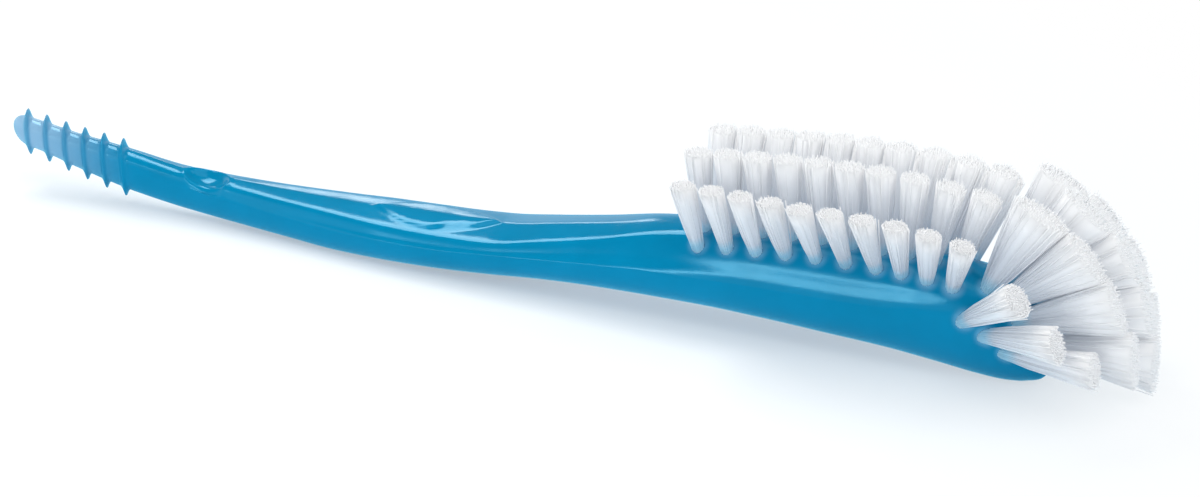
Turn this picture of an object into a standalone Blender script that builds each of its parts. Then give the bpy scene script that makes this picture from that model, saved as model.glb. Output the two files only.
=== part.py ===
"""Bottle and teat brush: one moulded handle whose domed head carries stapled nylon tufts.

Frame: +X runs from the ribbed teat tip to the brush head, +Y across, +Z up. The origin lies under
the middle of the brush, on the surface that the handle rests on. All lengths are in metres.
"""
import math
import random

import bmesh
import bpy
import numpy as np
from mathutils import Matrix, Vector
from mathutils.bvhtree import BVHTree

# Handle: the grip runs from the teat tip to the brush head, which ends in a chin under the fan
GRIP_LENGTH = 0.180
HEAD_LENGTH = 0.114
HEAD_HEIGHT = 0.0284
HEAD_WIDTH = 0.0224
GRIP_WIDTH = 0.0204
TIP_ROUNDING = 0.0045

# Rings of points along the handle, closer together over the steep end of the head
RING_POINTS = 24
RING_STEP = 0.006
STEEP_END = 0.0176
STEEP_RINGS = 9
SCOOP_RINGS = 9
TIP_RING_SHARES = (0.02, 0.12, 0.30, 0.55)
MERGE_DISTANCE = 0.00001
SHARP_ANGLE = math.radians(40)

# Ribs round the teat tip
RIB_COUNT = 6
FIRST_RIB = 0.0052
RIB_PITCH = 0.0062
RIB_HEIGHT = 0.0024
RIB_SIDE_HEIGHT = 0.0009
RIB_FOOT = 0.0019
RIB_EDGE = 0.0005
RIB_SLANT = math.radians(25)

# Scoop in the top face and the raised pad behind it, placed from the teat tip
SCOOP_CENTRE = 0.0635
SCOOP_LENGTH = 0.0135
SCOOP_WIDTH = 0.0094
SCOOP_DEPTH = 0.0027
SCOOP_FULLNESS = 0.8
PAD_CENTRE = 0.1325
PAD_LENGTH = 0.038
PAD_WIDTH = 0.0145
PAD_HEIGHT = 0.0010

# Holes for the tufts, and the plug at each tuft's root
HOLE_RADIUS = 0.0015
HOLE_DEPTH = 0.0036
CLEARANCE = 0.0003
PLUG_STAND = 0.0008
OVERRUN = 0.0025

# Tufts: the strands of one tuft, how far their tips spread and how uneven they are. The spread of
# the rows' tufts is a share of their pitch, so that neighbours stay apart
STRANDS = 8
INNER_TUFT_LENGTH = 0.0234
OUTER_TUFT_LENGTH = 0.0224
FAN_TUFT_LENGTH = 0.0268
FAN_TUFT_SPREAD = 0.0030
RAGGED = 0.0007
ROW_SPREAD_SHARE = 0.32
SPREAD_SHARES = (0.75, 1.0)
STRAND_FOOT_SHARE = 0.84
STRAND_TIP_SHARE = 1.06

# Tuft rows on each side: upright tufts at one pitch, then closer ones that turn forward
ROW_INSET = 0.0279
ROW_END_GAP = 0.0222
ROW_TUFTS = 7
END_TUFTS = 3
END_PITCH_SHARE = 0.84
END_TURN = math.radians(17)
INNER_OFFSET = 0.0031
INNER_LEAN = math.radians(13)
OUTER_OFFSET = 0.0078
OUTER_LEAN_FIRST = math.radians(28)
OUTER_LEAN = math.radians(37)
OUTER_LEAN_TUFTS = 4

# Middle of the fan, inside the end of the head: a tuft's foot is where a line from it comes out
FAN_INSET = 0.0208
FAN_HEIGHT_SHARE = 0.437

# Along the grip or the head, as shares of its length. Then the heights of the underside, the
# widest line and the top face, as shares of the head's height, and half the width, as a share of
# half the grip's or the head's. Last, the squareness of the section above and below its widest line
GRIP_SHARES = (
    (0.000, 0.458, 0.600, 0.740, 0.28, 2.2, 2.2),
    (0.056, 0.388, 0.540, 0.694, 0.31, 2.2, 2.2),
    (0.111, 0.298, 0.465, 0.642, 0.32, 2.3, 2.2),
    (0.167, 0.216, 0.402, 0.603, 0.34, 2.4, 2.2),
    (0.222, 0.150, 0.360, 0.561, 0.37, 2.8, 2.2),
    (0.310, 0.081, 0.342, 0.494, 0.39, 4.0, 2.3),
    (0.400, 0.039, 0.310, 0.475, 0.49, 4.6, 2.3),
    (0.490, 0.007, 0.285, 0.455, 0.63, 4.8, 2.3),
    (0.578, -0.018, 0.281, 0.448, 0.78, 4.8, 2.3),
    (0.666, -0.004, 0.302, 0.460, 0.92, 4.6, 2.3),
    (0.756, 0.025, 0.331, 0.485, 0.98, 4.4, 2.3),
    (0.833, 0.063, 0.384, 0.527, 1.00, 4.0, 2.3),
    (0.916, 0.116, 0.430, 0.620, 1.00, 3.2, 2.3),
)
HEAD_SHARES = (
    (0.000, 0.148, 0.472, 0.725, 0.93, 2.7, 2.3),
    (0.131, 0.162, 0.560, 0.830, 0.96, 2.3, 2.3),
    (0.262, 0.169, 0.644, 0.910, 0.98, 2.0, 2.3),
    (0.394, 0.155, 0.701, 0.951, 1.00, 1.9, 2.3),
    (0.525, 0.130, 0.718, 0.993, 1.00, 1.9, 2.3),
    (0.657, 0.102, 0.720, 1.000, 0.99, 1.9, 2.3),
    (0.773, 0.050, 0.680, 0.980, 0.96, 1.9, 2.3),
    (0.858, -0.024, 0.600, 0.950, 0.90, 2.0, 2.3),
    (0.910, -0.030, 0.500, 0.890, 0.80, 2.1, 2.3),
    (0.946, -0.010, 0.380, 0.760, 0.68, 2.2, 2.2),
    (0.969, 0.020, 0.250, 0.560, 0.54, 2.2, 2.0),
    (0.984, 0.040, 0.150, 0.330, 0.38, 2.0, 2.0),
    (1.000, 0.070, 0.090, 0.130, 0.12, 2.0, 2.0),
)

# Fan tufts, as angles in degrees: the tuft's own rise above the horizon and sideways lean, then
# the rise and lean of the line from the fan's middle to its foot
FAN_TUFTS = {
    "fan_outer": ((44, 35, 63, 61), (24, 35, 12, 50), (14, 27, -10, 32)),
    "fan_inner": ((62, 11, 62, 22), (42, 12, 42, 23), (24, 13, 22, 22), (8, 13, -1, 17)),
    "fan_middle": ((51, 0, 51, 0), (32, 0, 32, 0), (16, 0, 14, 0), (2, 0, -10, 0)),
}

BLUE = (0.0, 0.26, 0.51)
BLUE_ROUGHNESS = 0.25
BLUE_TRANSMISSION = 0.2
NYLON_WHITE = (0.80, 0.81, 0.84)
NYLON_ROUGHNESS = 0.45


def clear_scene():
    for piece in list(bpy.data.objects):
        bpy.data.objects.remove(piece, do_unlink=True)


def plastic(name, colour, roughness, transmission):
    material = bpy.data.materials.new(name)
    material.use_nodes = True
    shader = material.node_tree.nodes["Principled BSDF"]
    shader.inputs["Base Color"].default_value = (*colour, 1.0)
    shader.inputs["Roughness"].default_value = roughness
    shader.inputs["Metallic"].default_value = 0.0
    shader.inputs["Transmission Weight"].default_value = transmission
    material.diffuse_color = (*colour, 1.0)
    return material


def add_object(name, mesh, material):
    piece = bpy.data.objects.new(name, mesh)
    mesh.materials.clear()
    mesh.materials.append(material)
    bpy.context.collection.objects.link(piece)
    return piece


def curve_through(places, values, wanted):
    """Smooth curve through the values at the places, with slopes limited so that it never
    swings past them."""
    steps = np.diff(places)
    grades = np.diff(values) / steps
    slopes = np.empty(len(values))
    slopes[0], slopes[-1] = grades[0], grades[-1]
    same = grades[:-1] * grades[1:] > 0
    total = np.where(same, grades[:-1] + grades[1:], 1.0)
    slopes[1:-1] = np.where(same, 2 * grades[:-1] * grades[1:] / total, 0.0)
    low = np.clip(np.searchsorted(places, wanted, side="right") - 1, 0, len(steps) - 1)
    t = (wanted - places[low]) / steps[low]
    return (
        (1 + 2 * t) * (1 - t) ** 2 * values[low]
        + t * (1 - t) ** 2 * steps[low] * slopes[low]
        + t ** 2 * (3 - 2 * t) * values[low + 1]
        + t ** 2 * (t - 1) * steps[low] * slopes[low + 1]
    )


def station_table():
    """The section's sizes at each station of the grip and the head, in metres."""
    rows = []
    grip = (GRIP_SHARES, 0.0, GRIP_LENGTH, GRIP_WIDTH)
    head = (HEAD_SHARES, GRIP_LENGTH, HEAD_LENGTH, HEAD_WIDTH)
    for shares, start, length, width in (grip, head):
        for along, low, side, high, half, above, below in shares:
            rows.append((start + along * length, low * HEAD_HEIGHT, side * HEAD_HEIGHT,
                         high * HEAD_HEIGHT, half * width / 2, above, below))
    return np.array(rows)


def rib_places():
    return FIRST_RIB + RIB_PITCH * np.arange(RIB_COUNT)


def ring_places():
    """Where the handle's rings lie: an even step along the grip and head, closer at the round
    tip, the ribs, the scoop and the steep end of the head."""
    places = [TIP_ROUNDING * share for share in TIP_RING_SHARES]
    for rib in rib_places():
        places += [rib - RIB_FOOT / 2, rib - RIB_EDGE / 2, rib + RIB_EDGE / 2, rib + RIB_FOOT / 2]
    ribs_end = FIRST_RIB + RIB_PITCH * RIB_COUNT
    places += list(np.arange(ribs_end, SCOOP_CENTRE - SCOOP_LENGTH / 2, RING_STEP))
    places += list(SCOOP_CENTRE + SCOOP_LENGTH / 2 * np.linspace(-1, 1, SCOOP_RINGS))
    scoop_end = SCOOP_CENTRE + SCOOP_LENGTH / 2 + RING_STEP
    steep_start = GRIP_LENGTH + HEAD_LENGTH - STEEP_END
    steps = round((steep_start - scoop_end) / RING_STEP)
    places += list(np.linspace(scoop_end, steep_start, steps))
    turn = np.linspace(0, math.pi / 2, STEEP_RINGS + 1)[1:]
    places += list(steep_start + STEEP_END * np.sin(turn))
    return np.array(sorted(places))


def rib_swell(places):
    """0 between the ribs and 1 on the blunt edge of each rib."""
    away = np.abs(places[:, None] - rib_places()[None, :]).min(axis=1)
    return np.clip((RIB_FOOT / 2 - away) / ((RIB_FOOT - RIB_EDGE) / 2), 0, 1)[:, None]


def rib_slant(places):
    """How far along the handle a point moves for each step sideways: the ribs slant in plan, and
    past the last rib the slant dies away."""
    ribs_end = FIRST_RIB + RIB_PITCH * RIB_COUNT
    return math.tan(RIB_SLANT) * np.clip(2 - places / ribs_end, 0, 1)[:, None]


def section_sizes(places):
    """Underside, widest line, top face, half width and the two squarenesses of each ring."""
    table = station_table()
    return [curve_through(table[:, 0], table[:, column], places)[:, None] for column in range(1, 7)]


def unit_section(above, below):
    """Sideways and upward shares of a section's points: two half superellipses that meet at its
    widest line."""
    turn = np.linspace(0, 2 * math.pi, RING_POINTS, endpoint=False)[None, :]
    power = 2 / np.where(np.sin(turn) >= 0, above, below)
    across = np.sign(np.cos(turn)) * np.abs(np.cos(turn)) ** power
    upward = np.sign(np.sin(turn)) * np.abs(np.sin(turn)) ** power
    return across, upward


def oval(places, y, centre, length, width):
    """1 in the middle of an oval on the top face, falling to 0 at its edge."""
    along = (places[:, None] - centre) / (length / 2)
    return np.clip(1 - along ** 2 - (y / (width / 2)) ** 2, 0, 1)


def top_relief(places, y, upward):
    """How far the raised pad lifts the top face, and how far the dished scoop lowers it."""
    pad = PAD_HEIGHT * np.sqrt(oval(places, y, PAD_CENTRE, PAD_LENGTH, PAD_WIDTH))
    dish = oval(places, y, SCOOP_CENTRE, SCOOP_LENGTH, SCOOP_WIDTH)
    return (pad - SCOOP_DEPTH * dish ** SCOOP_FULLNESS) * (upward > 0)


def handle_grid():
    """Rings of points round the handle. The teat tip is round, the ribs swell the section, the
    pad and the scoop shape the top face, and the underside is flat where it rests on the ground."""
    places = ring_places()
    low, side, high, half, above, below = section_sizes(places)
    across, upward = unit_section(above, below)
    rounding = np.sqrt(1 - np.clip(1 - places[:, None] / TIP_ROUNDING, 0, 1) ** 2)
    swell = rib_swell(places)
    reach = np.where(upward >= 0, high - side, side - low)
    y = across * (half * rounding + RIB_SIDE_HEIGHT * swell)
    z = side + upward * (reach * rounding + RIB_HEIGHT * swell)
    z = np.maximum(z + top_relief(places, y, upward), 0)
    x = places[:, None] - rib_slant(places) * y
    return np.stack(np.broadcast_arrays(x, y, z), axis=-1)


def handle_shape():
    """The handle's rings joined by quads, with a fan of triangles over each end."""
    shape = bmesh.new()
    rings = [[shape.verts.new(point) for point in ring] for ring in handle_grid()]
    for ring, following in zip(rings, rings[1:]):
        for k in range(RING_POINTS):
            after = (k + 1) % RING_POINTS
            shape.faces.new((ring[k], ring[after], following[after], following[k]))
    for ring in (rings[0], rings[-1]):
        middle = shape.verts.new(sum((vert.co for vert in ring), Vector()) / RING_POINTS)
        for k in range(RING_POINTS):
            shape.faces.new((ring[k], ring[(k + 1) % RING_POINTS], middle))
    bmesh.ops.remove_doubles(shape, verts=shape.verts, dist=MERGE_DISTANCE)
    bmesh.ops.recalc_face_normals(shape, faces=shape.faces)
    return shape


def direction_of(rise, lean):
    """Unit vector that rises from +X towards +Z and leans towards -Y."""
    return Vector((math.cos(lean) * math.cos(rise), -math.sin(lean), math.cos(lean) * math.sin(rise)))


def row_pitch():
    """Distance between two upright tufts of a row: the rows fill the head between their gaps."""
    stretch = HEAD_LENGTH - ROW_INSET - ROW_END_GAP
    return stretch / (ROW_TUFTS - 1 + END_TUFTS * END_PITCH_SHARE)


def row_axes(tree):
    """Row, number, foot and direction of the near side's tufts on top of the head. The outer
    tufts lean out further than the inner ones, and those by the neck a little less."""
    steps = [row_pitch()] * (ROW_TUFTS - 1) + [row_pitch() * END_PITCH_SHARE] * END_TUFTS
    places = GRIP_LENGTH + ROW_INSET + np.concatenate(([0], np.cumsum(steps)))
    axes = []
    for k, place in enumerate(places):
        turned = END_TURN * max(0, k - ROW_TUFTS + 1) / END_TUFTS
        grown = min(1, k / OUTER_LEAN_TUFTS)
        outer_lean = OUTER_LEAN_FIRST + (OUTER_LEAN - OUTER_LEAN_FIRST) * grown
        for row, offset, lean in (("outer", OUTER_OFFSET, outer_lean), ("inner", INNER_OFFSET, INNER_LEAN)):
            above = Vector((place, -offset, HEAD_LENGTH))
            foot = tree.ray_cast(above, Vector((0, 0, -1)))[0]
            axes.append((row, k + 1, foot, direction_of(math.pi / 2 - turned, lean)))
    return axes


def fan_axes(tree):
    """Row, number, foot and direction of the fan's tufts, on the near side and in the middle."""
    middle = Vector((GRIP_LENGTH + HEAD_LENGTH - FAN_INSET, 0, HEAD_HEIGHT * FAN_HEIGHT_SHARE))
    axes = []
    for row, angles in FAN_TUFTS.items():
        for k, (rise, lean, foot_rise, foot_lean) in enumerate(np.radians(angles)):
            outwards = direction_of(foot_rise, foot_lean)
            foot = tree.ray_cast(middle + outwards * HEAD_LENGTH, -outwards)[0]
            axes.append((row, k + 1, foot, direction_of(rise, lean)))
    return axes


def tuft_axes(tree):
    """Name, foot, direction and side of each tuft. The near side is -Y, and the far side is
    its mirror image."""
    mirror = Vector((1, -1, 1))
    tufts = []
    for row, number, foot, direction in row_axes(tree) + fan_axes(tree):
        if row == "fan_middle":
            tufts.append((f"tuft_{row}_{number}", foot, direction, 1))
        else:
            tufts.append((f"tuft_{row}_near_{number}", foot, direction, 1))
            tufts.append((f"tuft_{row}_far_{number}", foot * mirror, direction * mirror, -1))
    return tufts


def placed(foot, direction):
    """Frame with its origin at a tuft's foot and its +Z along the tuft."""
    across = Vector((0, 1, 0)).cross(direction).normalized()
    sideways = direction.cross(across)
    frame = Matrix((across, sideways, direction)).transposed().to_4x4()
    frame.translation = foot
    return frame


def prism_points(radius, height):
    """Corners of a tuft's plug or hole, one for each strand."""
    turns = [2 * math.pi * (k + 0.5) / STRANDS for k in range(STRANDS)]
    return [Vector((radius * math.cos(turn), radius * math.sin(turn), height)) for turn in turns]


def hole_mesh(tufts):
    """One prism for each hole, from its blind end to just outside the handle."""
    shape = bmesh.new()
    for _, foot, direction, _ in tufts:
        frame = placed(foot, direction)
        floor = [shape.verts.new(frame @ point) for point in prism_points(HOLE_RADIUS, -HOLE_DEPTH)]
        mouth = [shape.verts.new(frame @ point) for point in prism_points(HOLE_RADIUS, OVERRUN)]
        shape.faces.new(floor[::-1])
        shape.faces.new(mouth)
        for k in range(STRANDS):
            after = (k + 1) % STRANDS
            shape.faces.new((floor[k], floor[after], mouth[after], mouth[k]))
    mesh = bpy.data.meshes.new("holes")
    shape.to_mesh(mesh)
    shape.free()
    return mesh


def tuft_size(kind):
    """Length of a tuft and how far from its middle the tips of its strands reach."""
    return {
        "inner": (INNER_TUFT_LENGTH, ROW_SPREAD_SHARE * row_pitch()),
        "outer": (OUTER_TUFT_LENGTH, ROW_SPREAD_SHARE * row_pitch()),
        "fan": (FAN_TUFT_LENGTH, FAN_TUFT_SPREAD),
    }[kind]


def add_strand(shape, wedge, spread, length):
    """A three-sided strand on one wedge of the plug's top: a narrow foot that spreads outwards,
    as it rises, to a wider tip."""
    middle = sum((vert.co for vert in wedge), Vector()) / len(wedge)
    outwards = Vector((middle.x, middle.y, 0)).normalized()
    top = outwards * spread + Vector((0, 0, length))
    foot = [shape.verts.new(middle.lerp(vert.co, STRAND_FOOT_SHARE)) for vert in wedge]
    tip = [shape.verts.new(top + (vert.co - middle) * STRAND_TIP_SHARE) for vert in wedge]
    for a, b in ((0, 1), (1, 2), (2, 0)):
        shape.faces.new((wedge[a], wedge[b], foot[b], foot[a]))
        shape.faces.new((foot[a], foot[b], tip[b], tip[a]))
    shape.faces.new(tip)


def tuft_mesh(name, side):
    """Root plug and the strands that rise from it, one from each wedge of the plug's top."""
    chance = random.Random(name.replace("_near_", "_").replace("_far_", "_"))
    height, reach = tuft_size(name.split("_")[1])
    shape = bmesh.new()
    flip = Matrix.Diagonal((1, side, 1))
    radius = HOLE_RADIUS - CLEARANCE
    floor = [shape.verts.new(flip @ point) for point in prism_points(radius, CLEARANCE - HOLE_DEPTH)]
    rim = [shape.verts.new(flip @ point) for point in prism_points(radius, PLUG_STAND)]
    hub = shape.verts.new((0, 0, PLUG_STAND))
    shape.faces.new(floor)
    for k in range(STRANDS):
        after = (k + 1) % STRANDS
        shape.faces.new((floor[k], floor[after], rim[after], rim[k]))
        length = height - RAGGED * chance.random()
        spread = reach * chance.uniform(*SPREAD_SHARES)
        add_strand(shape, (hub, rim[k], rim[after]), spread, length)
    bmesh.ops.recalc_face_normals(shape, faces=shape.faces)
    mesh = bpy.data.meshes.new(name)
    shape.to_mesh(mesh)
    shape.free()
    return mesh


def make_handle(shape, material):
    mesh = bpy.data.meshes.new("handle")
    shape.to_mesh(mesh)
    mesh.shade_smooth()
    mesh.set_sharp_from_angle(angle=SHARP_ANGLE)
    return add_object("handle", mesh, material)


def drill_holes(handle, tufts, material):
    """Cuts the tufts' blind holes into the handle, and returns the cutter."""
    cutter = add_object("holes_cutter", hole_mesh(tufts), material)
    cutter.hide_render = True
    cutter.display_type = "WIRE"
    cut = handle.modifiers.new("tuft holes", "BOOLEAN")
    cut.operation = "DIFFERENCE"
    cut.solver = "EXACT"
    cut.object = cutter
    return cutter


def make_tufts(tufts, material):
    pieces = []
    for name, foot, direction, side in tufts:
        piece = add_object(name, tuft_mesh(name, side), material)
        piece.matrix_world = placed(foot, direction)
        pieces.append(piece)
    return pieces


def centre_on_origin(pieces, cutter):
    """Moves the brush along X so that the origin lies under its middle."""
    ends = [(piece.matrix_world @ vert.co).x for piece in pieces for vert in piece.data.vertices]
    shift = Vector((-(min(ends) + max(ends)) / 2, 0, 0))
    for piece in pieces + [cutter]:
        piece.matrix_world = Matrix.Translation(shift) @ piece.matrix_world


def main():
    clear_scene()
    blue = plastic("blue_plastic", BLUE, BLUE_ROUGHNESS, BLUE_TRANSMISSION)
    nylon = plastic("white_nylon", NYLON_WHITE, NYLON_ROUGHNESS, 0.0)
    shape = handle_shape()
    tufts = tuft_axes(BVHTree.FromBMesh(shape))
    handle = make_handle(shape, blue)
    shape.free()
    cutter = drill_holes(handle, tufts, blue)
    bristles = make_tufts(tufts, nylon)
    bpy.context.view_layer.update()
    centre_on_origin([handle] + bristles, cutter)


main()
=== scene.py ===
"""Bottle and teat brush: the moulded handle's finished surface, its nylon bristles and the studio.

All sizes are in metres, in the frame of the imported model: +X runs from the ribbed teat tip to the
brush head, +Y across and +Z up. A place along the handle is measured from the teat tip.
"""
import math

import bpy
import numpy as np
from bpy.props import FloatProperty, FloatVectorProperty, IntProperty, PointerProperty
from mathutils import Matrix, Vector


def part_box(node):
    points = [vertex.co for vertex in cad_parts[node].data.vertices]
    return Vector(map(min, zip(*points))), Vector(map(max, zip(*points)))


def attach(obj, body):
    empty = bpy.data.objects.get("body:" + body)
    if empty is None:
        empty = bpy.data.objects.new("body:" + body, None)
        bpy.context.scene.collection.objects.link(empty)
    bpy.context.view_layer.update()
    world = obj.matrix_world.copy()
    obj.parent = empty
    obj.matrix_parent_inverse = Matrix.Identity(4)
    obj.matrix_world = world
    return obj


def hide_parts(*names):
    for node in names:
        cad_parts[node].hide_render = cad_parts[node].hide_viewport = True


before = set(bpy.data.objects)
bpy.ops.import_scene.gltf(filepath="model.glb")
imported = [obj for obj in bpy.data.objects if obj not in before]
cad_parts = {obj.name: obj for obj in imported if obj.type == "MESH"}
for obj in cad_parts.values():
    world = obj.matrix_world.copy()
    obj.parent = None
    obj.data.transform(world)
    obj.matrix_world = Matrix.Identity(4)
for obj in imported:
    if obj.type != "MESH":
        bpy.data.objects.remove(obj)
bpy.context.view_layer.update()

bl_info = {
    "name": "Bottle Brush",
    "version": (1, 0, 0),
    "blender": (4, 5, 0),
    "location": "3D View > Sidebar > Bottle Brush",
    "description": "Builds a bottle and teat brush with a moulded handle and nylon bristles",
    "category": "Add Mesh",
}

BODY = "root"

# The handle's lengths and widths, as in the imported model
GRIP_LENGTH = 0.180
HEAD_LENGTH = 0.114
HEAD_HEIGHT = 0.0284
HEAD_WIDTH = 0.0224
GRIP_WIDTH = 0.0204
HANDLE_LENGTH = GRIP_LENGTH + HEAD_LENGTH
HANDLE_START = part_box("handle")[1].x - HANDLE_LENGTH
TIP_ROUNDING = 0.0045
CHIN_ROUNDING = 0.0012

# Ribs round the teat tip. RIB_FOOT is a rib's thickness at its foot, and RIB_SIDE_SHARE is how far
# it stands out sideways, as a share of its height
RIB_COUNT = 6
FIRST_RIB = 0.0052
RIB_PITCH = 0.0062
RIB_SIDE_SHARE = 0.375
RIB_FOOT = 0.0030
RIB_TAPER = 1.9
RIB_EDGE_SHARE = 0.10
RIB_SLANT = math.radians(25)
RIBS_END = FIRST_RIB + RIB_PITCH * RIB_COUNT

# Scoop in the top face. Its rim and bead are shares of the way to its middle
SCOOP_CENTRE = 0.0635
SCOOP_SIDE = -0.0019
SCOOP_LENGTH = 0.0145
SCOOP_WIDTH = 0.0090
SCOOP_FULLNESS = 0.9
SCOOP_RIM_SHARE = 0.15
SCOOP_BEAD_HEIGHT = 0.00022
SCOOP_BEAD_SHARE = 0.28
SCOOP_RIDGE_FADE = 2

# Raised pad between the scoop and the head. Its edge and near slope are shares of half its width,
# and where that slope starts and ends is given as shares of half its length from its middle
PAD_CENTRE = 0.1325
PAD_LENGTH = 0.038
PAD_WIDTH = 0.0135
PAD_EDGE = 0.22
PAD_SLOPE = 0.50
PAD_SLOPE_START = 0.0
PAD_SLOPE_END = 0.45
PAD_SLOPE_RAMP = 0.30
PAD_EVENNESS = 0.6

# Rings of the handle's surface and points of a ring. Then where the rings lie closer than
# elsewhere, as place from the teat tip, reach to each side and factor
HANDLE_RINGS = 600
HANDLE_POINTS = 160
POINT_CROWDS = 8
POINT_CROWDING = 0.6
RING_CROWDS = (
    (0.0000, 0.0040, 6.0),
    (0.0210, 0.0230, 4.5),
    (0.0635, 0.0090, 2.0),
    (0.1325, 0.0220, 1.2),
    (0.2400, 0.0560, 1.6),
    (0.2910, 0.0080, 4.0),
)
RING_CROWD_SAMPLES = 6000

# Along the grip or the head, as shares of its length. Then the heights of the underside, the
# widest line, the top corners and the ridge along the top, as shares of the head's height, and
# half the width, as a share of half the grip's or the head's. Then the squareness of the section
# above and below its widest line, and the tilt in degrees of the band above that line
GRIP_SHARES = (
    (0.000, 0.458, 0.600, 0.740, 0.740, 0.28, 2.2, 2.2, 0),
    (0.056, 0.388, 0.540, 0.694, 0.694, 0.31, 2.2, 2.2, 0),
    (0.111, 0.298, 0.465, 0.642, 0.642, 0.32, 2.3, 2.2, 0),
    (0.167, 0.216, 0.404, 0.600, 0.606, 0.34, 2.5, 2.2, 0),
    (0.222, 0.150, 0.364, 0.548, 0.564, 0.37, 3.4, 2.2, 2),
    (0.310, 0.081, 0.340, 0.472, 0.492, 0.40, 4.4, 2.3, 5),
    (0.400, 0.039, 0.306, 0.446, 0.472, 0.49, 5.0, 2.3, 8),
    (0.490, 0.007, 0.280, 0.434, 0.460, 0.62, 5.5, 2.3, 10),
    (0.578, -0.018, 0.270, 0.436, 0.464, 0.78, 5.5, 2.3, 12),
    (0.666, -0.004, 0.284, 0.440, 0.476, 0.93, 6.0, 2.3, 14),
    (0.756, 0.025, 0.311, 0.454, 0.492, 0.99, 6.0, 2.3, 17),
    (0.833, 0.063, 0.360, 0.480, 0.532, 1.00, 6.0, 2.3, 20),
    (0.916, 0.116, 0.412, 0.570, 0.622, 1.00, 5.0, 2.3, 22),
)
HEAD_SHARES = (
    (0.000, 0.148, 0.468, 0.683, 0.725, 0.93, 4.0, 2.3, 24),
    (0.131, 0.162, 0.520, 0.820, 0.835, 0.96, 3.2, 2.3, 23),
    (0.262, 0.169, 0.545, 0.910, 0.910, 0.98, 2.6, 2.3, 18),
    (0.394, 0.155, 0.570, 0.951, 0.951, 1.00, 2.3, 2.3, 15),
    (0.525, 0.130, 0.580, 0.993, 0.993, 1.00, 2.1, 2.3, 14),
    (0.657, 0.102, 0.600, 1.000, 1.000, 0.99, 2.0, 2.3, 13),
    (0.773, 0.052, 0.630, 0.980, 0.980, 0.96, 1.9, 2.3, 6),
    (0.858, 0.010, 0.600, 0.950, 0.950, 0.90, 2.0, 2.3, 0),
    (0.910, -0.004, 0.500, 0.890, 0.890, 0.80, 2.1, 2.3, 0),
    (0.946, 0.003, 0.380, 0.760, 0.760, 0.68, 2.2, 2.2, 0),
    (0.969, 0.020, 0.250, 0.560, 0.560, 0.54, 2.2, 2.0, 0),
    (0.984, 0.040, 0.150, 0.330, 0.330, 0.38, 2.0, 2.0, 0),
    (1.000, 0.070, 0.090, 0.130, 0.130, 0.12, 2.0, 2.0, 0),
)

# Ridge, band and lean of the top face. The lean is a rise for each step across
RIDGE_ROUNDING_SHARE = 0.10
BAND_RADIUS = 0.024
CORNER_REACH = 0.0020
LEAST_BLEND = 1e-9
TOP_REACH = 0.5
TOP_ROLL = 0.085
ROLL_START = 0.055
ROLL_END = 0.225
ROLL_RAMP = 0.035
FULL_TILT = math.radians(8)

# A tuft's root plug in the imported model, from the tuft's foot on the handle's surface
PLUG_DEPTH = 0.0033
AXIS_SIDES = 8
WELD_DIGITS = 7
HEAD_MIDDLE = np.array((HANDLE_START + GRIP_LENGTH + HEAD_LENGTH / 2, 0.0, HEAD_HEIGHT / 2))

# The tufts' own shape. A filament's lean and bow are shares of its tuft's radius at the tips
ROOT_DEPTH = 0.0022
FILAMENT_STEPS = 3
FILAMENT_SIDES = 5
GOLDEN_TURN = math.pi * (3 - math.sqrt(5))
LEAN_SPAN = (0.86, 1.06)
LEAN_SCATTER = 0.03
BOW_SCATTER = 0.05
RAGGED_SPREAD = (1.2, 2.5)
STRAY_SHARE = 0.012
STRAY_LEAN = 1.35
CORE_SIDES = 44
CORE_STEPS = 4
CORE_SHARE = 0.93
CORE_GRAIN = 0.035
CORE_DROP = 0.0009
FLOOR_GAP = 0.0004
DIMPLE_RADIUS = 0.0022
# Reach of the paler spot round each tuft's root: the white root seen through the plastic, with a
# painted glow round it
GLOW_RADIUS = 0.0036

# Mottle group: the noise's detail and roughness, and the span of it that is stretched
MOTTLE_DETAIL = 4.0
MOTTLE_ROUGHNESS = 0.6
MOTTLE_SPAN = (0.3, 0.7)
MOTTLE_DEFAULTS = (("Scale", 50.0), ("Low", 0.0), ("High", 1.0))

# Sockets of a colour mix node
MIX_FACTOR = 0
MIX_FIRST = 6
MIX_SECOND = 7
MIX_RESULT = 2

# The blue plastic, with each mottle as its scale, low value and high value
PLASTIC_FLOW = (60.0, 0.92, 1.05)
PLASTIC_ROUGHNESS = (220.0, 0.09, 0.15)
PLASTIC_GRAIN = (900.0, 0.0, 1.0)
GRAIN_STRENGTH = 0.03
GRAIN_HEIGHT = 0.0002
PLASTIC_IOR = 1.5
PLASTIC_SPECULAR_TINT = (0.28, 0.75, 1.0, 1.0)
# Painted light showing through the thin teat tip, and the share of it left on the thicker ribs
TIP_LIGHT_SHARE = 0.9
RIB_LIGHT_SHARE = 0.35
RIB_LIGHT_REACH = 0.5

# The white nylon. The blends are spans of a filament's length: painted blue light from the handle
# near the roots, then painted shade on the lower part that fades towards the tips
NYLON_ROUGHNESS = (400.0, 0.30, 0.45)
ROOT_LIGHT_BLEND = (0.08, 0.26)
SHADE_FADE_BLEND = (0.2, 0.95)
DARKEST_TONE = 0.95
NYLON_GLOW = 0.09
NYLON_SCATTER = 0.15
NYLON_SCATTER_SHARES = (1.0, 1.0, 1.0)
NYLON_SCATTER_REACH = 0.003
NYLON_SPECULAR = 0.3

# Camera, from the photo's viewing angle, and the photo's frame
VIEW_AZIMUTH = math.radians(24)
VIEW_ELEVATION = math.radians(25)
VIEW_DISTANCE = 0.5907
VIEW_PLACE = 0.17871
VIEW_HEIGHT = 0.01311
VIEW_TARGET = Vector((HANDLE_START + VIEW_PLACE, 0.0, VIEW_HEIGHT))
SENSOR_WIDTH = 36.0
CLIP_START = 0.01
CLIP_END = 10.0
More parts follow.
